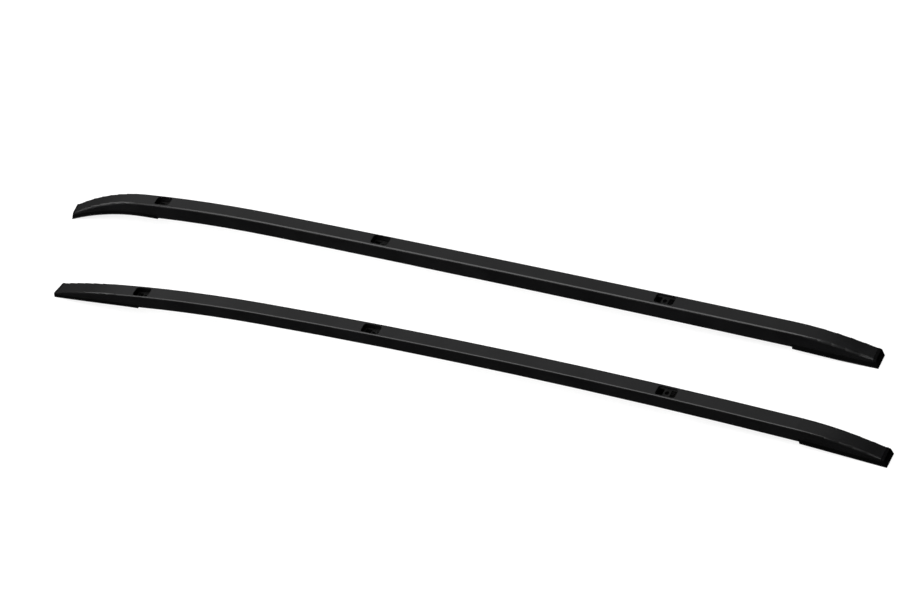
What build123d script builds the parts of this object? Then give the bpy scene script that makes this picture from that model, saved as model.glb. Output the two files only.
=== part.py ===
"""A pair of roof side rails, left and right, lying side by side as mirror images.

Each rail is one bent aluminium channel that stands on a moulded foot at its front and rear end,
with a steel bracket for a roof bolt under each of its three access openings.
The front of the pair points along -X, the left rail lies on the -Y side, and +Z is up.
A rail's line is the middle of its underside, measured in millimetres from its highest point.
"""
import os
from dataclasses import dataclass
from math import cos, degrees, radians, sin

from build123d import *

# Channel section
top_width = 32.0
rail_height = 35.0
inner_lean = 5.0
wall = 2.5
slot_width = 14.0
outer_ridge_radius = 3.0
inner_ridge_radius = 5.0

# Line of the rail: shoulder and front bend ahead of its highest point, run and rear bend behind it
apex_height = 63.0
shoulder_radius = 3240.0
shoulder_length = 373.0
front_bend_radius = 560.0
front_bend_length = 228.0
front_bend_tilt = 30.5
run_radius = 17100.0
run_length = 1227.0
run_tilt = -26.0
rear_bend_radius = 536.0
rear_bend_length = 178.0

# Access openings in the top wall
opening_length = 43.0
opening_width = 23.6
opening_offset = 1.0
opening_corner = 6.0
front_opening_gap = 22.0
middle_opening_place = 279.0
rear_opening_place = 951.0

# Feet and gaskets
gasket_thickness = 2.4
seat_notch = 1.0
front_foot_thickness = 1.4
front_foot_length = 274.5
front_foot_rise = 9.6
front_rim = 3.5
front_skirt_rise = 6.0
front_end_lean = 25.0
rear_foot_thickness = 4.2
rear_foot_length = 182.0
rear_rim = 6.0
rear_skirt_rise = 7.0
rear_end_lean = 8.0
cap_recess_depth = 4.0
cap_recess_width = 24.0
cap_recess_height = 12.0
cap_recess_rise = 13.0
cap_recess_corner = 2.0
foot_lip = 0.8
skirt_clearance = 0.1
plug_height = 9.0
plug_clearance = 0.3
front_plug_length = 110.0
rear_plug_length = 45.0

# Centre pad
centre_pad_place = 432.0
centre_pad_length = 137.0
centre_pad_drop = 3.0
centre_pad_inset = 2.0
pad_neck_clearance = 0.3
pad_head_overhang = 2.5
pad_head_thickness = 1.6

# Brackets and rivets
bracket_thickness = 2.5
bracket_width = 24.0
bridge_length = 52.0
low_bridge_height = 17.0
high_bridge_height = 28.0
bracket_foot_length = 13.0
bracket_bend_radius = 1.5
bolt_hole_diameter = 9.0
window_length = 13.5
window_width = 16.0
window_corner = 2.0
window_edge = 5.0
rivet_diameter = 3.2
rivet_hole_clearance = 0.1
rivet_head_diameter = 6.0
rivet_head_height = 1.2
rivet_head_gap = 0.05
rivet_edge = 2.4

# How the two rails lie beside each other
pair_spacing = 243.0
lay_shift = 107.0
toe_in = 1.3

# Room for the tools that trim one piece by another, and the shortest length worth carrying
spare = 60.0
shortest_length = 0.001


@dataclass
class Run:
    """One arc of the rail's line: where it starts, how it bends and where it ends."""

    start: Plane
    radius: float
    tilt: float
    way: int
    first: float
    last: float

    def axis(self):
        towards = self.start.y_dir * -cos(radians(self.tilt)) - self.start.x_dir * sin(radians(self.tilt))
        centre = self.start.origin + towards * self.radius
        return Axis(centre, (self.start.z_dir * self.way).cross(towards))

    def station(self, distance):
        """The section's plane at a distance from the apex: x outwards, y up, z to the rear."""
        axis = self.axis()
        turn = degrees((distance - self.first) / self.radius)
        arm = (self.start.origin - axis.position).rotate(axis, turn)
        across = self.start.x_dir.rotate(axis, turn)
        along = self.start.z_dir.rotate(axis, turn)
        return Plane(axis.position + arm, x_dir=across, z_dir=along)


def rail_line():
    """The four arcs, those ahead of the apex first."""
    apex = Plane((0, 0, apex_height), x_dir=(0, 1, 0), z_dir=(1, 0, 0))
    endless = shoulder_length + run_length + front_bend_length + rear_bend_length
    shoulder = Run(apex, shoulder_radius, 0, -1, 0, shoulder_length)
    front_start = shoulder.station(shoulder_length)
    front = Run(front_start, front_bend_radius, front_bend_tilt, -1, shoulder_length, endless)
    run = Run(apex, run_radius, run_tilt, 1, 0, run_length)
    rear_start = run.station(run_length)
    rear = Run(rear_start, rear_bend_radius, 0, 1, run_length, endless)
    return [shoulder, front, run, rear]


LINE = rail_line()
FRONT_END = -(shoulder_length + front_bend_length)
FRONT_TIP = FRONT_END - front_rim
FRONT_STEP = FRONT_TIP + front_foot_length
REAR_END = run_length + rear_bend_length
REAR_TIP = REAR_END + rear_rim
REAR_STEP = REAR_TIP - rear_foot_length


def station(place):
    """The section's plane at a signed place on the line, ahead of the apex negative."""
    for run in LINE:
        if run.way * place >= 0 and run.first <= abs(place) <= run.last:
            return run.station(abs(place))
    raise ValueError(f"no station at {place}")


def carried(profile, start, end):
    """The solid that a flat profile makes when it is carried along the line from start to end."""
    solids = []
    for run in LINE:
        low, high = sorted((run.way * run.first, run.way * run.last))
        low, high = max(low, start), min(high, end)
        if high - low < shortest_length:
            continue
        first, last = sorted((abs(low), abs(high)))
        sweep_angle = degrees((last - first) / run.radius)
        solids.append(revolve(run.station(first) * profile, run.axis(), sweep_angle))
    return solids[0].fuse(*solids[1:]) if len(solids) > 1 else solids[0]


def top_point(place):
    """The middle of the top face at a place on the line."""
    plane = station(place)
    return plane.origin + plane.y_dir * rail_height


def outline(extra_down=0.0):
    """The channel's sharp outline, its sides prolonged straight down by an extra amount."""
    outer, inner = top_width / 2, -top_width / 2
    foot = inner - inner_lean
    prolonged = [(outer, -extra_down), (foot, -extra_down)] if extra_down else [(outer, 0)]
    return make_face(Polyline((outer, rail_height), *prolonged, (foot, 0), (inner, rail_height), close=True))


def cavity():
    """The space inside the channel's walls."""
    return offset(outline(), -wall, kind=Kind.INTERSECTION)


def channel_section():
    """The channel with its rounded ridges, its hollow and the slot underneath."""
    slot = Rectangle(slot_width, 2 * wall)
    return rounded(outline()) - cavity() - slot


def side_region(edges):
    """A region of the side view, prolonged across the rail to both sides."""
    return extrude(Plane.XZ * make_face(edges), amount=spare, both=True)


def front_arc(rise):
    """The arc under the front foot, from the tip on the ground to the foot's step, lifted by rise."""
    step, front = station(FRONT_STEP).origin, station(FRONT_TIP)
    foremost = front.origin + front.x_dir * (top_width / 2 + foot_lip)
    tip = Vector(foremost.X, rise)
    end = Vector(step.X, step.Z + seat_notch - gasket_thickness - front_foot_thickness + rise)
    middle = (tip + end) * 0.5 + Vector(0, front_foot_rise)
    return ThreePointArc(tip, middle, end)


def rear_straight(rise):
    """The straight underside of the rear foot, from its step to the tip on the ground, lifted by rise."""
    step, rear = station(REAR_STEP).origin, station(REAR_TIP)
    rearmost = rear.origin - rear.x_dir * (top_width / 2 + inner_lean + foot_lip)
    low = step.Z + seat_notch - gasket_thickness - rear_foot_thickness
    return Line((step.X, low + rise), (rearmost.X, rise))


def end_plane(place):
    """The plane that closes an end: over a place of the line on the ground, leaning back to the middle."""
    section = station(place)
    way = 1 if place > 0 else -1
    lean = radians(rear_end_lean if place > 0 else front_end_lean)
    ahead = Vector(section.z_dir.X, section.z_dir.Y, 0).normalized() * way
    across = Vector(section.x_dir.X, section.x_dir.Y, 0).normalized() * way
    ground = Vector(section.origin.X, section.origin.Y, 0)
    return Plane(ground, x_dir=across, z_dir=ahead * cos(lean) + Vector(0, 0, sin(lean)))


def beyond(place):
    """All that lies outside the end plane at a place."""
    return end_plane(place) * extrude(Rectangle(4 * spare, 4 * spare), amount=4 * spare)


def band(lower, upper):
    """The layer between two edges of the side view that lie one above the other."""
    closing = [Line(lower @ 0, upper @ 0), Line(lower @ 1, upper @ 1)]
    return side_region([lower, upper, *closing])


def opening_plane(place):
    """The plane of the top face at a place, x to the rear and z up."""
    plane = station(place)
    return Plane(top_point(place), x_dir=plane.z_dir, z_dir=plane.y_dir)


def bracket_plane(place):
    """The plane of the channel's floor at a place, x to the rear and z up."""
    plane = station(place)
    return Plane(plane.origin + plane.y_dir * wall, x_dir=plane.z_dir, z_dir=plane.y_dir)


def rivet_spots():
    """The two rivets of a bracket, both in its rear foot, one on each flange."""
    along = (bridge_length + bracket_foot_length) / 2
    across = bracket_width / 2 - rivet_edge
    return [(along, across), (along, -across)]


def make_rail():
    """The bent channel with its openings, cut off at its leaning ends and trimmed to sit on the feet."""
    rail = carried(channel_section(), FRONT_END, REAR_END)
    for place in OPENINGS.values():
        window = RectangleRounded(opening_length, opening_width, opening_corner)
        rail -= opening_plane(place) * Pos(0, opening_offset) * extrude(window, amount=2 * wall, both=True)
        for spot in rivet_spots():
            hole = Circle((rivet_diameter + rivet_hole_clearance) / 2)
            rail -= bracket_plane(place) * Pos(*spot) * extrude(hole, amount=2 * wall, both=True)
    rail -= band(front_arc(-spare), front_arc(gasket_thickness + front_foot_thickness))
    rail -= band(rear_straight(-spare), rear_straight(gasket_thickness + rear_foot_thickness))
    ground = Pos(0, 0, -spare) * Box(4 * REAR_END, 4 * spare, 2 * spare)
    return rail - beyond(FRONT_END) - beyond(REAR_END) - ground


def rounded(shape, extra=0.0):
    """An outline with its two ridges rounded, on radii larger by an extra amount."""
    inner_ridge, outer_ridge = shape.vertices().sort_by(Axis.Y)[-2:].sort_by(Axis.X)
    shape = fillet(inner_ridge, inner_ridge_radius + extra)
    return fillet(shape.vertices().sort_by_distance(outer_ridge)[0], outer_ridge_radius + extra)


def skirt():
    """The outline of a foot: the channel's, a lip wider, with its sides prolonged to the ground."""
    return rounded(offset(outline(spare), foot_lip, kind=Kind.INTERSECTION), foot_lip)


def skirt_hollow():
    """The room that a foot's skirt leaves for the metal."""
    return offset(outline(spare), skirt_clearance, kind=Kind.INTERSECTION)


def plug_core():
    """The section of the plugs that fill the channel's ends."""
    return offset(cavity(), -plug_clearance, kind=Kind.INTERSECTION)


def front_body():
    """The full width of the front foot along its whole length."""
    return carried(skirt(), FRONT_TIP, FRONT_STEP) - beyond(FRONT_TIP)


def rear_body():
    """The full width of the rear foot along its whole length."""
    return carried(skirt(), REAR_STEP, REAR_TIP) - beyond(REAR_TIP)


def make_foot(body, underside, thickness, skirt_rise, end, step, plug_length):
    """A foot's sole, the skirt round the metal's lower edge, its end cap and its plug."""
    seat = gasket_thickness + thickness
    inwards = -1 if end > 0 else 1
    sole = body & band(underside(gasket_thickness), underside(seat))
    sides = body & band(underside(gasket_thickness), underside(seat + skirt_rise))
    sides -= carried(skirt_hollow(), min(end, step), max(end, step))
    cap = body & beyond(end) & band(underside(gasket_thickness), underside(spare))
    plug_end = end + inwards * plug_length
    plug = carried(plug_core(), min(end, plug_end), max(end, plug_end)) - beyond(end)
    plug &= band(underside(gasket_thickness), underside(seat + plug_height))
    return sole + sides + cap + plug


def make_front_foot():
    """The thin foot under the front end."""
    return make_foot(front_body(), front_arc, front_foot_thickness, front_skirt_rise,
                     FRONT_END, FRONT_STEP, front_plug_length)


def make_front_gasket():
    """The soft strip between the front foot and the ground."""
    return front_body() & band(front_arc(0), front_arc(gasket_thickness))


def make_rear_foot():
    """The foot under the rear end, with a recess in its cap."""
    foot = make_foot(rear_body(), rear_straight, rear_foot_thickness, rear_skirt_rise,
                     REAR_END, REAR_STEP, rear_plug_length)
    recess = RectangleRounded(cap_recess_width, cap_recess_height, cap_recess_corner)
    cutter = extrude(recess, amount=cap_recess_depth, both=True)
    return foot - end_plane(REAR_TIP) * Pos(0, cap_recess_rise) * cutter


def make_rear_gasket():
    """The soft strip between the rear foot and the ground."""
    return rear_body() & band(rear_straight(0), rear_straight(gasket_thickness))


def make_centre_pad():
    """The rubber pad under the middle of the rail, with a neck in the slot and a head above it."""
    outer = top_width / 2 - centre_pad_inset
    inner = -top_width / 2 - inner_lean + centre_pad_inset
    sole = Pos((outer + inner) / 2, -centre_pad_drop / 2) * Rectangle(outer - inner, centre_pad_drop)
    neck_width = slot_width - 2 * pad_neck_clearance
    neck = Pos(0, wall / 2) * Rectangle(neck_width, wall)
    head = Pos(0, wall + pad_head_thickness / 2) * Rectangle(
        slot_width + 2 * pad_head_overhang, pad_head_thickness)
    start = centre_pad_place - centre_pad_length / 2
    return carried(sole + neck + head, start, start + centre_pad_length)


def make_bracket(place, top):
    """A formed steel bridge as high as top, with a bolt hole and a window on each side of it."""
    half = bridge_length / 2
    reach, plate = half + bracket_foot_length, bracket_thickness
    right_side = [(half - plate, top - plate), (half - plate, 0), (reach, 0), (reach, plate),
                  (half, plate), (half, top)]
    left_side = [(-x, z) for x, z in reversed(right_side)]
    strip = make_face(Polyline(*right_side, *left_side, close=True))
    outside = [v for v in strip.vertices() if (abs(v.X) == half and v.Y == top)
               or (abs(v.X) == half - plate and v.Y == 0)]
    strip = fillet(outside, bracket_bend_radius + plate)
    inside = [v for v in strip.vertices() if (abs(v.X) == half and v.Y == plate)
              or (abs(v.X) == half - plate and v.Y == top - plate)]
    strip = fillet(inside, bracket_bend_radius)
    bracket = extrude(Plane.XZ * strip, amount=bracket_width / 2, both=True)
    bracket -= Pos(0, 0, top) * extrude(Circle(bolt_hole_diameter / 2), amount=2 * plate, both=True)
    window = extrude(RectangleRounded(window_length, window_width, window_corner), amount=2 * plate, both=True)
    window_place = half - window_edge - window_length / 2
    for x in (-window_place, window_place):
        bracket -= Pos(x, 0, top) * window
    hole = extrude(Circle((rivet_diameter + rivet_hole_clearance) / 2), amount=2 * plate, both=True)
    for spot in rivet_spots():
        bracket -= Pos(*spot) * hole
    return bracket_plane(place) * bracket


def make_rivet(place, spot):
    """A rivet through a bracket's foot and the channel's flange."""
    plane = bracket_plane(place)
    head_edge = spot[0] + rivet_head_diameter / 2
    under = plane.to_local_coords(station(place + head_edge).origin).Z - rivet_head_gap
    head = Circle(rivet_head_diameter / 2)
    shank = Pos(0, 0, under) * extrude(Circle(rivet_diameter / 2), amount=bracket_thickness - under)
    upper = Pos(0, 0, bracket_thickness) * extrude(head, amount=rivet_head_height)
    lower = Pos(0, 0, under) * extrude(head, amount=-rivet_head_height)
    return plane * Pos(*spot) * (shank + upper + lower)


OPENINGS = {
    "front": FRONT_STEP + front_opening_gap,
    "middle": middle_opening_place,
    "rear": rear_opening_place,
}
BRIDGES = {"front": low_bridge_height, "middle": low_bridge_height, "rear": high_bridge_height}


def make_pieces():
    """One rail's pieces by name, with the outer side of the rail towards +Y."""
    pieces = {
        "rail": make_rail(),
        "front_foot": make_front_foot(),
        "front_gasket": make_front_gasket(),
        "rear_foot": make_rear_foot(),
        "rear_gasket": make_rear_gasket(),
        "centre_pad": make_centre_pad(),
    }
    rivets = []
    for name, place in OPENINGS.items():
        pieces[f"{name}_bracket"] = make_bracket(place, BRIDGES[name])
        rivets += [make_rivet(place, spot) for spot in rivet_spots()]
    pieces["bracket_rivets"] = Part() + rivets
    return pieces


def make_pair():
    """Both rails' pieces, the left rail mirrored, centred on the ground."""
    right_place = Pos(-lay_shift / 2, pair_spacing / 2) * Rot(0, 0, -toe_in)
    left_place = Pos(lay_shift / 2, -pair_spacing / 2) * Rot(0, 0, toe_in)
    pair = {}
    for name, piece in make_pieces().items():
        pair[f"left_{name}"] = left_place * mirror(piece, about=Plane.XZ)
        pair[f"right_{name}"] = right_place * piece
    middle = Compound(list(pair.values())).bounding_box().center()
    return {name: Pos(-middle.X, -middle.Y) * piece for name, piece in pair.items()}


if __name__ == "__main__":
    os.makedirs("parts", exist_ok=True)
    for node, solid in make_pair().items():
        export_step(solid, f"parts/{node}.step")
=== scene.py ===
"""Finishes a pair of roof side rails and sets them on a plain white floor."""
import math

import bmesh
import bpy
from bpy.props import FloatProperty, FloatVectorProperty, PointerProperty
from mathutils import Matrix, Vector

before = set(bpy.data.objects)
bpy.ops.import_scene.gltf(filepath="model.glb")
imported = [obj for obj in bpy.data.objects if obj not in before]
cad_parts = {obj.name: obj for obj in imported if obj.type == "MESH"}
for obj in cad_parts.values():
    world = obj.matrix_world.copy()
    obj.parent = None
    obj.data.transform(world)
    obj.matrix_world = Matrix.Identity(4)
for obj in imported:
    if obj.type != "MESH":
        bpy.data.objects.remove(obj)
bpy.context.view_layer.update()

bl_info = {
    "name": "Roof side rails",
    "version": (1, 0, 0),
    "blender": (4, 5, 0),
    "location": "3D View > Sidebar > Rails",
    "description": "Finishes a pair of roof side rails and sets their studio",
    "category": "Object",
}

SIDES = ("left", "right")

# Skins: the relief's depth in metres, the least and most roughness, and the level of the gloss
COAT_SKIN = {"depth": 0.00003, "roughness": (0.3, 0.38), "specular": 0.5}
FOOT_SKIN = {"depth": 0.00006, "roughness": (0.6, 0.75), "specular": 0.06}
RUBBER_SKIN = {"depth": 0.00005, "roughness": (0.75, 0.9), "specular": 0.15}
SMALLEST_GRAIN = 0.0002
PEEL_DETAIL = 2
CLOUD_DETAIL = 4
CLOUD_LEVELS = (0.3, 0.7)

# Plated steel: the streaks per metre, and the least and most roughness
ZINC_PLATE = {"streaks": 900, "roughness": (0.38, 0.55)}
RIVET_PLATE = {"streaks": 2400, "roughness": (0.3, 0.45)}
PLATE_DEPTH = 0.00004
PLATE_METALLIC = 0.85
STREAK_STRETCH = (0.04, 1, 1)
STREAK_DETAIL = 3

# Lamps: the direction from the rails, and in metres the distance and the size along and across
BACK_LAMP = {"towards": (-0.42, 0.53, 0.684), "distance": 2.6, "size": (3.8, 1.6)}
SIDE_LAMP = {"towards": (0.5, -0.5, 0.684), "distance": 2.6, "size": (3.8, 1.6)}
FRONT_LAMP = {"towards": (-0.24, -0.36, 0.74), "distance": 2.6, "size": (4.2, 2.4)}
FILL_LAMP = {"towards": (0.2, -0.05, 1), "distance": 3.0, "size": (5.0, 4.0)}

# The room: heights, as the sine of the elevation, between which wall turns into ceiling
WALL_TOP = 0.15
CEILING_START = 0.35

# The floor from its middle to its edge in metres, and the camera's sensor in millimetres
FLOOR_REACH = 20
FLOOR_ROUGHNESS = 0.9
SENSOR_WIDTH = 36


# Settings
def colour(name, description, default):
    """A colour that a user may change."""
    return FloatVectorProperty(name=name, description=description, default=default,
                               size=4, min=0, max=1, subtype="COLOR")


def grain_size(name, description, default):
    """The size of a skin's grain in metres."""
    return FloatProperty(name=name, description=description, default=default,
                         min=SMALLEST_GRAIN, unit="LENGTH")


def lamp_power(name, description, default):
    """The power of a lamp in watts."""
    return FloatProperty(name=name, description=description, default=default,
                         min=0, unit="POWER")


def share(name, description, default):
    """A share from nothing to all."""
    return FloatProperty(name=name, description=description, default=default,
                         min=0, max=1, subtype="FACTOR")


class RailFinish(bpy.types.PropertyGroup):
    """The colours and textures of the rails' materials."""

    coat: colour("Coat", "Colour of the satin black powder coat", (0.003, 0.003, 0.0032, 1))
    coat_fleck: colour("Coat fleck", "Lighter colour of the coat's fine flecks",
                       (0.0065, 0.0065, 0.007, 1))
    coat_grain: grain_size("Coat grain", "Size of the coat's orange peel", 0.0011)
    plastic: colour("Foot plastic", "Colour of the moulded feet", (0.0012, 0.0012, 0.0013, 1))
    plastic_fleck: colour("Foot fleck", "Lighter colour of the feet's fine flecks",
                          (0.003, 0.003, 0.0032, 1))
    plastic_grain: grain_size("Foot grain", "Size of the feet's moulded grain", 0.0006)
    rubber: colour("Rubber", "Colour of the gaskets and centre pads", (0.012, 0.012, 0.012, 1))
    bloom: colour("Rubber bloom", "Greyer colour where the rubber has bloomed",
                  (0.03, 0.03, 0.029, 1))
    rubber_grain: grain_size("Rubber grain", "Size of the rubber's fine skin", 0.0009)
    zinc: colour("Zinc", "Colour of the brackets' dark zinc plating", (0.012, 0.012, 0.0124, 1))
    zinc_light: colour("Zinc streak", "Lighter colour of the plating's streaks",
                       (0.034, 0.034, 0.033, 1))
    rivet: colour("Rivet", "Colour of the rivets", (0.2, 0.2, 0.2, 1))
    rivet_light: colour("Rivet streak", "Lighter colour of the rivets' streaks",
                        (0.34, 0.34, 0.33, 1))


class StudioSetup(bpy.types.PropertyGroup):
    """The floor, the lamps and the camera."""

    floor: colour("Floor", "Colour of the floor under the rails", (0.3, 0.3, 0.3, 1))
    floor_glow: share("Floor white", "White that the floor shows by itself", 0.77)
    mirrored: share("Mirrored white", "Share of the white that the satin coat mirrors", 0.015)
    surroundings: colour("Surroundings", "Colour of the room's soft light", (1, 1, 1, 1))
    room_light: FloatProperty(name="Room light", description="Strength of the room's soft light",
                              default=0.15, min=0)
    ceiling: FloatProperty(name="Ceiling", description="Strength of the ceiling in the gloss",
                           default=0.03, min=0)
    back_power: lamp_power("Back and side lamp", "Power of each lamp that the tops mirror", 7.2)
    front_power: lamp_power("Front lamp", "Power of the lamp that the ridges mirror", 106)
    fill_power: lamp_power("Fill lamp", "Power of the wide soft lamp overhead", 75)
    aim: FloatVectorProperty(name="Aim", description="Point that the camera looks at",
                             default=(0.01552, 0.06049, -0.00542), size=3, subtype="TRANSLATION")
    azimuth: FloatProperty(name="Azimuth", description="Turn of the camera round the rails",
                           default=math.radians(43.42), subtype="ANGLE")
    elevation: FloatProperty(name="Elevation", description="Height of the camera as an angle",
                             default=math.radians(43.18), subtype="ANGLE")
    roll: FloatProperty(name="Roll", description="Tilt of the camera about its own line",
                        default=math.radians(-22.25), subtype="ANGLE")
    distance: FloatProperty(name="Distance", description="Distance of the camera from its aim",
                            default=5.672, min=0.5, unit="LENGTH")
    lens: FloatProperty(name="Lens", description="Focal length of the camera's lens",
                        default=106.14, min=10, unit="CAMERA")


# Node helpers
def add_node(tree, kind, place, **values):
    """A node of a kind at a place in the tree, with its own settings."""
    node = tree.nodes.new(kind)
    node.location = place
    for key, value in values.items():
        setattr(node, key, value)
    return node


def new_material(name):
    """An empty material with a Principled shader and its output."""
    material = bpy.data.materials.new(name)
    material.use_nodes = True
    tree = material.node_tree
    tree.nodes.clear()
    shader = add_node(tree, "ShaderNodeBsdfPrincipled", (300, 0))
    output = add_node(tree, "ShaderNodeOutputMaterial", (620, 0))
    tree.links.new(shader.outputs["BSDF"], output.inputs["Surface"])
    return material, tree, shader


def spread(tree, source, low, high, place):
    """A value from 0 to 1 spread between low and high."""
    node = add_node(tree, "ShaderNodeMapRange", place)
    node.inputs["To Min"].default_value = low
    node.inputs["To Max"].default_value = high
    tree.links.new(source, node.inputs["Value"])
    return node.outputs["Result"]


def ramp(tree, source, low, high, place):
    """A value that rises from 0 to 1 as its source goes from low to high."""
    node = add_node(tree, "ShaderNodeMapRange", place)
    node.inputs["From Min"].default_value = low
    node.inputs["From Max"].default_value = high
    tree.links.new(source, node.inputs["Value"])
    return node.outputs["Result"]


def joined(tree, operation, first, second, place):
    """The product or the larger of a value and another value or a plain number."""
    node = add_node(tree, "ShaderNodeMath", place, operation=operation)
    tree.links.new(first, node.inputs[0])
    if isinstance(second, bpy.types.NodeSocket):
        tree.links.new(second, node.inputs[1])
    else:
        node.inputs[1].default_value = second
    return node.outputs["Value"]


def blended(tree, factor, first, second, place):
    """Two colours mixed by a factor."""
    node = add_node(tree, "ShaderNodeMix", place, data_type="RGBA")
    node.inputs["A"].default_value = first
    node.inputs["B"].default_value = second
    tree.links.new(factor, node.inputs["Factor"])
    return node.outputs["Result"]


def relief(tree, height, depth, place):
    """The normal of a surface with a fine relief of a depth in metres."""
    node = add_node(tree, "ShaderNodeBump", place)
    node.inputs["Strength"].default_value = 1
    node.inputs["Distance"].default_value = depth
    tree.links.new(height, node.inputs["Height"])
    return node.outputs["Normal"]


def texture(tree, kind, vector, scale, place):
    """A noise or cell texture at a scale, over a vector."""
    node = add_node(tree, kind, place)
    tree.links.new(vector, node.inputs["Vector"])
    tree.links.new(scale, node.inputs["Scale"])
    return node


# Node groups
def group_of(name, inputs, outputs):
    """A new shader node group with float inputs and outputs."""
    tree = bpy.data.node_groups.new(name, "ShaderNodeTree")
    for label, value in inputs.items():
        socket = tree.interface.new_socket(label, in_out="INPUT", socket_type="NodeSocketFloat")
        socket.default_value = value
    for label in outputs:
        tree.interface.new_socket(label, in_out="OUTPUT", socket_type="NodeSocketFloat")
    given = add_node(tree, "NodeGroupInput", (-700, 0))
    result = add_node(tree, "NodeGroupOutput", (600, 0))
    return tree, given.outputs, result.inputs


def fine_grain():
    """The group for a fine skin: relief, flecks and wide cloudy patches."""
    if "fine_grain" in bpy.data.node_groups:
        return bpy.data.node_groups["fine_grain"]
    tree, given, result = group_of("fine_grain",
                                   {"Cells per Metre": 1000, "Patches per Metre": 14},
                                   ("Height", "Fleck", "Patch"))
    position = add_node(tree, "ShaderNodeTexCoord", (-700, -260)).outputs["Object"]
    peel = texture(tree, "ShaderNodeTexNoise", position, given["Cells per Metre"], (-300, 200))
    peel.inputs["Detail"].default_value = PEEL_DETAIL
    tree.links.new(peel.outputs["Fac"], result["Height"])
    fleck = texture(tree, "ShaderNodeTexVoronoi", position, given["Cells per Metre"], (-300, -80))
    tree.links.new(fleck.outputs["Distance"], result["Fleck"])
    cloud = texture(tree, "ShaderNodeTexNoise", position, given["Patches per Metre"], (-300, -380))
    cloud.inputs["Detail"].default_value = CLOUD_DETAIL
    tree.links.new(ramp(tree, cloud.outputs["Fac"], *CLOUD_LEVELS, (0, -380)), result["Patch"])
    return tree


def rolled_plate():
    """The group for plated sheet steel: streaks along its length and dull spangles."""
    if "rolled_plate" in bpy.data.node_groups:
        return bpy.data.node_groups["rolled_plate"]
    tree, given, result = group_of("rolled_plate",
                                   {"Streaks per Metre": 900, "Spangles per Metre": 260},
                                   ("Streak", "Spangle"))
    position = add_node(tree, "ShaderNodeTexCoord", (-900, -260)).outputs["Object"]
    stretch = add_node(tree, "ShaderNodeMapping", (-560, 160))
    stretch.inputs["Scale"].default_value = STREAK_STRETCH
    tree.links.new(position, stretch.inputs["Vector"])
    streak = texture(tree, "ShaderNodeTexNoise", stretch.outputs["Vector"],
                     given["Streaks per Metre"], (-260, 160))
    streak.inputs["Detail"].default_value = STREAK_DETAIL
    tree.links.new(streak.outputs["Fac"], result["Streak"])
    spangle = texture(tree, "ShaderNodeTexVoronoi", position,
                      given["Spangles per Metre"], (-260, -160))
    grey = add_node(tree, "ShaderNodeRGBToBW", (60, -160))
    tree.links.new(spangle.outputs["Color"], grey.inputs["Color"])
    tree.links.new(grey.outputs["Val"], result["Spangle"])
    return tree


def use_group(tree, group, values):
    """The outputs of a group placed in a material with its own values."""
    node = add_node(tree, "ShaderNodeGroup", (-500, 0), node_tree=group)
    for label, value in values.items():
        node.inputs[label].default_value = value
    return node.outputs


# Materials
def skin_material(name, base, fleck_colour, grain, depth, roughness, specular):
    """A matt or satin skin with grain, cloudy patches and a fine relief."""
    material, tree, shader = new_material(name)
    skin = use_group(tree, fine_grain(), {"Cells per Metre": 1 / grain})
    flecked = joined(tree, "MULTIPLY", skin["Fleck"], skin["Patch"], (-260, 120))
    tree.links.new(blended(tree, flecked, base, fleck_colour, (0, 160)),
                   shader.inputs["Base Color"])
    tree.links.new(spread(tree, skin["Patch"], *roughness, (0, -80)), shader.inputs["Roughness"])
    tree.links.new(relief(tree, skin["Height"], depth, (0, -340)), shader.inputs["Normal"])
    shader.inputs["Specular IOR Level"].default_value = specular
    return material


def plate_material(name, base, streak_colour, streaks, roughness):
    """Plated steel with rolling streaks and dull spangles."""
    material, tree, shader = new_material(name)
    plate = use_group(tree, rolled_plate(), {"Streaks per Metre": streaks})
    streaked = joined(tree, "MULTIPLY", plate["Streak"], plate["Spangle"], (-260, 120))
    tree.links.new(blended(tree, streaked, base, streak_colour, (0, 160)),
                   shader.inputs["Base Color"])
    tree.links.new(spread(tree, plate["Spangle"], *roughness, (0, -80)),
                   shader.inputs["Roughness"])
    tree.links.new(relief(tree, plate["Streak"], PLATE_DEPTH, (0, -340)), shader.inputs["Normal"])
    shader.inputs["Metallic"].default_value = PLATE_METALLIC
    return material


def finish_nodes(piece_names, material):
    """Gives a material to the named pieces of both rails."""
    for side in SIDES:
        for piece_name in piece_names:
            for material_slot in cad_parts[f"{side}_{piece_name}"].material_slots:
                material_slot.material = material


class RAIL_OT_coat_channels(bpy.types.Operator):
    """Powder coats the two bent channels"""

    bl_idname = "rail.coat_channels"
    bl_label = "Coat the channels"

    def execute(self, context):
        finish = context.scene.rail_finish
        coat = skin_material("satin_powder_coat", finish.coat, finish.coat_fleck,
                             finish.coat_grain, **COAT_SKIN)
        finish_nodes(("rail",), coat)
        return {"FINISHED"}


class RAIL_OT_mould_feet(bpy.types.Operator):
    """Gives the four feet their moulded grain"""

    bl_idname = "rail.mould_feet"
    bl_label = "Mould the feet"

    def execute(self, context):
        finish = context.scene.rail_finish
        plastic = skin_material("moulded_foot_plastic", finish.plastic, finish.plastic_fleck,
                                finish.plastic_grain, **FOOT_SKIN)
        finish_nodes(("front_foot", "rear_foot"), plastic)
        return {"FINISHED"}


class RAIL_OT_mould_rubber(bpy.types.Operator):
    """Gives the gaskets and the centre pads their rubber"""

    bl_idname = "rail.mould_rubber"
    bl_label = "Mould the rubber"

    def execute(self, context):
        finish = context.scene.rail_finish
        rubber = skin_material("soft_black_rubber", finish.rubber, finish.bloom,
                               finish.rubber_grain, **RUBBER_SKIN)
        finish_nodes(("front_gasket", "rear_gasket", "centre_pad"), rubber)
        return {"FINISHED"}


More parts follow.
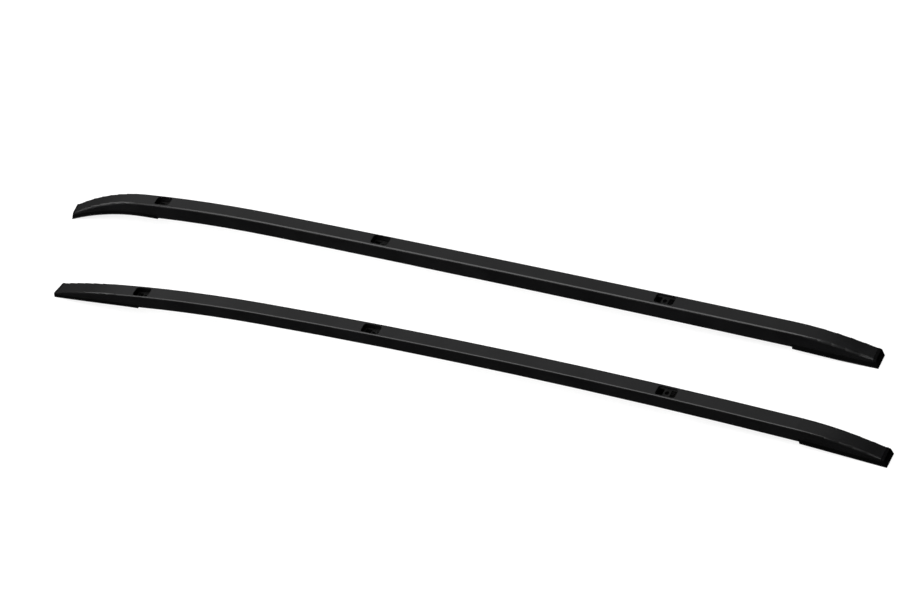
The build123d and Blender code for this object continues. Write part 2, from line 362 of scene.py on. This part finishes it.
class RAIL_OT_plate_brackets(bpy.types.Operator):
    """Plates the six steel brackets"""

    bl_idname = "rail.plate_brackets"
    bl_label = "Plate the brackets"

    def execute(self, context):
        finish = context.scene.rail_finish
        zinc = plate_material("dark_zinc_plate", finish.zinc, finish.zinc_light, **ZINC_PLATE)
        finish_nodes(("front_bracket", "middle_bracket", "rear_bracket"), zinc)
        return {"FINISHED"}


class RAIL_OT_set_rivets(bpy.types.Operator):
    """Plates the rivets that hold the brackets"""

    bl_idname = "rail.set_rivets"
    bl_label = "Set the rivets"

    def execute(self, context):
        finish = context.scene.rail_finish
        steel = plate_material("bright_rivet_steel", finish.rivet, finish.rivet_light,
                               **RIVET_PLATE)
        finish_nodes(("bracket_rivets",), steel)
        return {"FINISHED"}


# Studio
def seen_white(tree, mirrored, place):
    """One for rays from the camera or through glass, the mirrored share for gloss rays."""
    column, row = place
    path = add_node(tree, "ShaderNodeLightPath", place).outputs
    gloss = joined(tree, "MULTIPLY", path["Is Glossy Ray"], mirrored, (column + 180, row - 160))
    seen = joined(tree, "MAXIMUM", path["Is Camera Ray"], gloss, (column + 360, row))
    return joined(tree, "MAXIMUM", seen, path["Is Transmission Ray"], (column + 540, row))


def floor_material(studio):
    """A pale floor that shows white and still takes the rails' shadow."""
    material, tree, shader = new_material("white_studio_floor")
    path = add_node(tree, "ShaderNodeLightPath", (-600, 200)).outputs
    dim = [channel * studio.mirrored for channel in studio.floor[:3]] + [1]
    tree.links.new(blended(tree, path["Is Glossy Ray"], studio.floor, dim, (0, 200)),
                   shader.inputs["Base Color"])
    shader.inputs["Roughness"].default_value = FLOOR_ROUGHNESS
    shader.inputs["Specular IOR Level"].default_value = 0
    shader.inputs["Emission Color"].default_value = (1, 1, 1, 1)
    seen = seen_white(tree, studio.mirrored, (-600, -200))
    tree.links.new(joined(tree, "MULTIPLY", seen, studio.floor_glow, (120, -200)),
                   shader.inputs["Emission Strength"])
    return material


def lay_floor(studio):
    """The floor that the rails lie on."""
    mesh = bpy.data.meshes.new("floor")
    form = bmesh.new()
    bmesh.ops.create_grid(form, x_segments=1, y_segments=1, size=FLOOR_REACH)
    form.to_mesh(mesh)
    form.free()
    floor = bpy.data.objects.new("floor", mesh)
    mesh.materials.append(floor_material(studio))
    bpy.context.scene.collection.objects.link(floor)


def white_room(studio):
    """Soft light from all round, with walls that look white and a dim ceiling in the gloss."""
    world = bpy.data.worlds.new("white_room")
    world.use_nodes = True
    tree = world.node_tree
    tree.nodes.clear()
    direction = add_node(tree, "ShaderNodeTexCoord", (-900, 200)).outputs["Generated"]
    height = add_node(tree, "ShaderNodeSeparateXYZ", (-700, 200))
    tree.links.new(direction, height.inputs["Vector"])
    overhead = ramp(tree, height.outputs["Z"], WALL_TOP, CEILING_START, (-500, 200))
    path = add_node(tree, "ShaderNodeLightPath", (-500, -140)).outputs
    ceiling = joined(tree, "MULTIPLY", overhead, path["Is Glossy Ray"], (-260, 60))
    seen = seen_white(tree, studio.mirrored, (-500, -400))
    level = add_node(tree, "ShaderNodeMix", (400, 0), data_type="FLOAT")
    tree.links.new(ceiling, level.inputs["Factor"])
    tree.links.new(spread(tree, seen, studio.room_light, 1, (220, -140)), level.inputs["A"])
    level.inputs["B"].default_value = studio.ceiling
    back = add_node(tree, "ShaderNodeBackground", (600, 0))
    back.inputs["Color"].default_value = studio.surroundings
    tree.links.new(level.outputs["Result"], back.inputs["Strength"])
    output = add_node(tree, "ShaderNodeOutputWorld", (800, 0))
    tree.links.new(back.outputs["Background"], output.inputs["Surface"])
    bpy.context.scene.world = world


def add_lamp(name, power, towards, distance, size):
    """A rectangular lamp that faces the rails from a direction, its long side along them."""
    lamp = bpy.data.lights.new(name, "AREA")
    lamp.shape = "RECTANGLE"
    lamp.size, lamp.size_y = size
    lamp.energy = power
    holder = bpy.data.objects.new(name, lamp)
    facing = Vector(towards).normalized()
    along = Vector((1, 0, 0)).cross(facing).normalized().cross(facing)
    turn = Matrix((-along, along.cross(facing), facing)).transposed().to_4x4()
    holder.matrix_world = Matrix.Translation(facing * distance) @ turn
    holder.visible_camera = False
    bpy.context.scene.collection.objects.link(holder)
    return holder


def hang_lamps(studio):
    """The three lamps that the coat mirrors, and one overhead that only lights the surfaces."""
    add_lamp("back_lamp", studio.back_power, **BACK_LAMP)
    add_lamp("side_lamp", studio.back_power, **SIDE_LAMP)
    add_lamp("front_lamp", studio.front_power, **FRONT_LAMP)
    fill = add_lamp("fill_lamp", studio.fill_power, **FILL_LAMP)
    fill.visible_glossy = False


def place_camera(studio):
    """The camera, turned round the rails, down to them, and then about its own line."""
    lens = bpy.data.cameras.new("photo_camera")
    lens.sensor_fit = "HORIZONTAL"
    lens.sensor_width = SENSOR_WIDTH
    lens.lens = studio.lens
    camera = bpy.data.objects.new("photo_camera", lens)
    turn = (Matrix.Rotation(studio.azimuth, 4, "Z")
            @ Matrix.Rotation(math.pi / 2 - studio.elevation, 4, "X")
            @ Matrix.Rotation(studio.roll, 4, "Z"))
    stand = Vector(studio.aim) + turn @ Vector((0, 0, studio.distance))
    camera.matrix_world = Matrix.Translation(stand) @ turn
    bpy.context.scene.collection.objects.link(camera)
    bpy.context.scene.camera = camera


class RAIL_OT_set_stage(bpy.types.Operator):
    """Lays the floor, hangs the lamps and places the camera"""

    bl_idname = "rail.set_stage"
    bl_label = "Set the stage"

    def execute(self, context):
        studio = context.scene.rail_studio
        context.scene.view_settings.view_transform = "Standard"
        lay_floor(studio)
        white_room(studio)
        hang_lamps(studio)
        place_camera(studio)
        return {"FINISHED"}


class RAIL_PT_finish(bpy.types.Panel):
    """Lists the steps that finish the rails, and their settings"""

    bl_idname = "RAIL_PT_finish"
    bl_label = "Roof side rails"
    bl_space_type = "VIEW_3D"
    bl_region_type = "UI"
    bl_category = "Rails"

    def draw(self, context):
        for operator in OPERATORS:
            self.layout.operator(operator.bl_idname)
        for settings in (context.scene.rail_finish, context.scene.rail_studio):
            column = self.layout.column()
            for name in settings.__annotations__:
                column.prop(settings, name)


SETTINGS = (RailFinish, StudioSetup)
OPERATORS = (RAIL_OT_coat_channels, RAIL_OT_mould_feet, RAIL_OT_mould_rubber,
             RAIL_OT_plate_brackets, RAIL_OT_set_rivets, RAIL_OT_set_stage)
CLASSES = (*SETTINGS, *OPERATORS, RAIL_PT_finish)


def register():
    """Adds the classes and gives every scene their settings."""
    for cls in CLASSES:
        bpy.utils.register_class(cls)
    bpy.types.Scene.rail_finish = PointerProperty(type=RailFinish)
    bpy.types.Scene.rail_studio = PointerProperty(type=StudioSetup)


def unregister():
    """Takes the settings and the classes away again."""
    del bpy.types.Scene.rail_studio
    del bpy.types.Scene.rail_finish
    for cls in reversed(CLASSES):
        bpy.utils.unregister_class(cls)


def main():
    """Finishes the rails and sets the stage."""
    register()
    bpy.ops.rail.coat_channels()
    bpy.ops.rail.mould_feet()
    bpy.ops.rail.mould_rubber()
    bpy.ops.rail.plate_brackets()
    bpy.ops.rail.set_rivets()
    bpy.ops.rail.set_stage()


if __name__ == "__main__":
    main()
